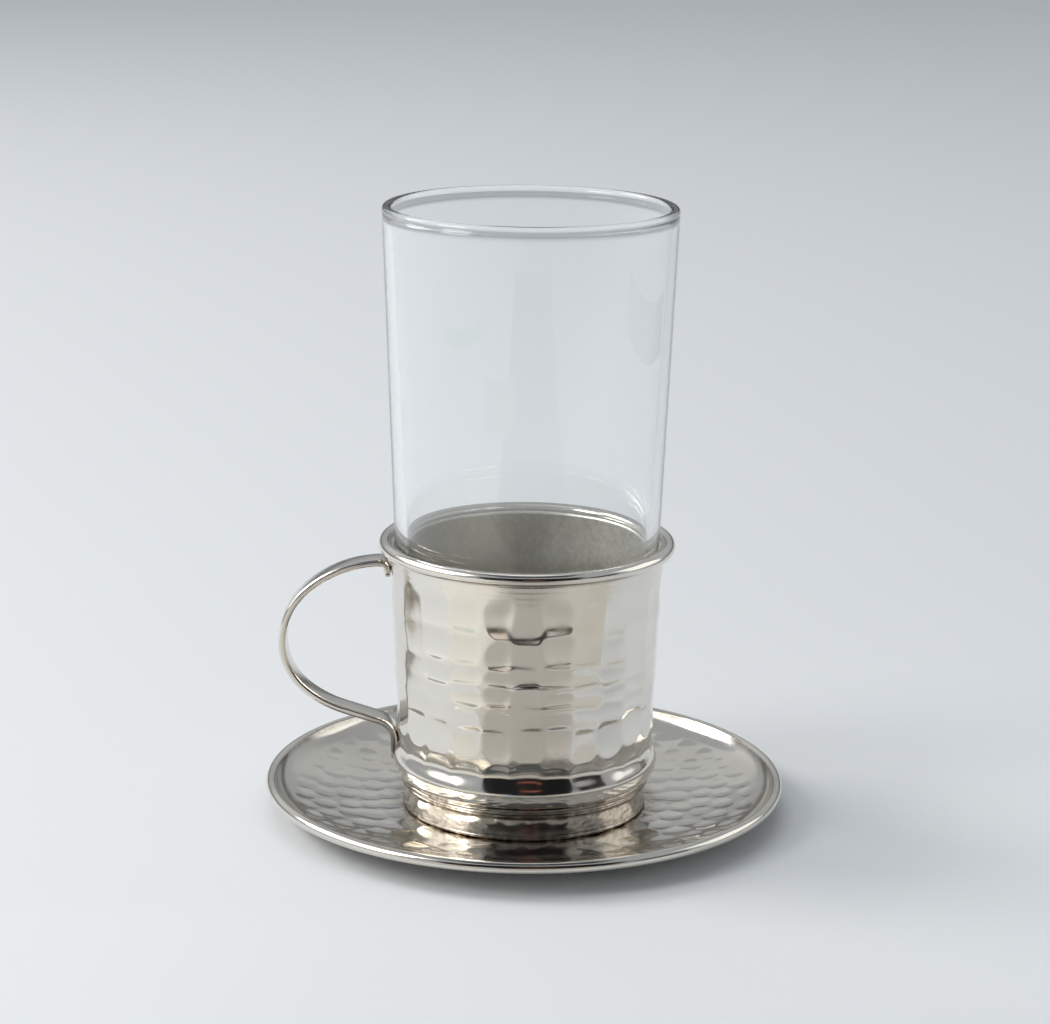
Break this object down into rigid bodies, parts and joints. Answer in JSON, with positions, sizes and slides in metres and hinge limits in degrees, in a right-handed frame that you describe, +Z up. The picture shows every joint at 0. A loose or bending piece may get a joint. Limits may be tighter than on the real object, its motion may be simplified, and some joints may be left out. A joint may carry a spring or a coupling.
{
  "type": "tea glass in a hammered metal holder on a saucer",
  "caption": "Straight clear tumbler standing in a hammered metal holder with a strip handle, on a hammered round saucer.",
  "frame": {"origin": "centre of the saucer's underside, on the surface it stands on", "axes": "+Z up along the common axis of saucer, holder and glass; the handle points along -X; -Y is the side seen from the front"},
  "size_m": [0.11, 0.11, 0.129],
  "materials": {
    "saucer_metal": "nickel-plated, hammered, with a worn satin gloss",
    "holder_metal": "nickel-plated, hammered and polished",
    "handle_metal": "nickel-plated, smooth and polished",
    "clear_glass": "clear colourless glass, fire-polished rim"
  },
  "bodies": {
    "root": {"saucer": "saucer_metal", "holder": "holder_metal", "handle": "handle_metal", "glass": "clear_glass"}
  },
  "joints": []
}
